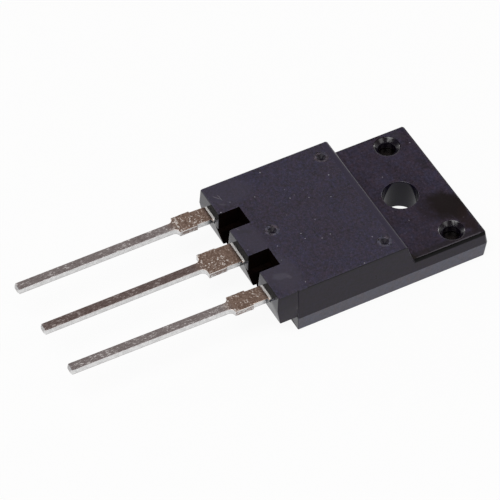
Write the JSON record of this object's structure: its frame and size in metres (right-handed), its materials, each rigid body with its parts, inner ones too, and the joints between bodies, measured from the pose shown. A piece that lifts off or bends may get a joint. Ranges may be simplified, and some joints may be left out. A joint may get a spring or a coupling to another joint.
{
  "type": "power transistor",
  "caption": "Power transistor in a fully insulated moulded package, with a screw hole in its thin tab and straight flat leads in a row.",
  "frame": {"origin": "on the axis of the mounting hole, at the flat back face that goes against the heat sink", "axes": "+Z out of the back face through the front, +Y from the leads towards the tab end, +X across the package from the base lead to the emitter lead"},
  "size_m": [0.0154, 0.0419, 0.0055],
  "materials": {
    "moulding_compound": "fine matt moulded",
    "tinned_copper": "tin plated copper alloy, dull",
    "solder": "matt",
    "silicon": "polished",
    "bond_wire": "bright drawn"
  },
  "bodies": {
    "root": {"moulded_body": "moulding_compound", "collector_frame": "tinned_copper", "base_lead": "tinned_copper", "emitter_lead": "tinned_copper", "die_solder": "solder", "silicon_die": "silicon", "base_wire": "bond_wire", "emitter_wire_inner": "bond_wire", "emitter_wire_outer": "bond_wire"}
  },
  "joints": []
}
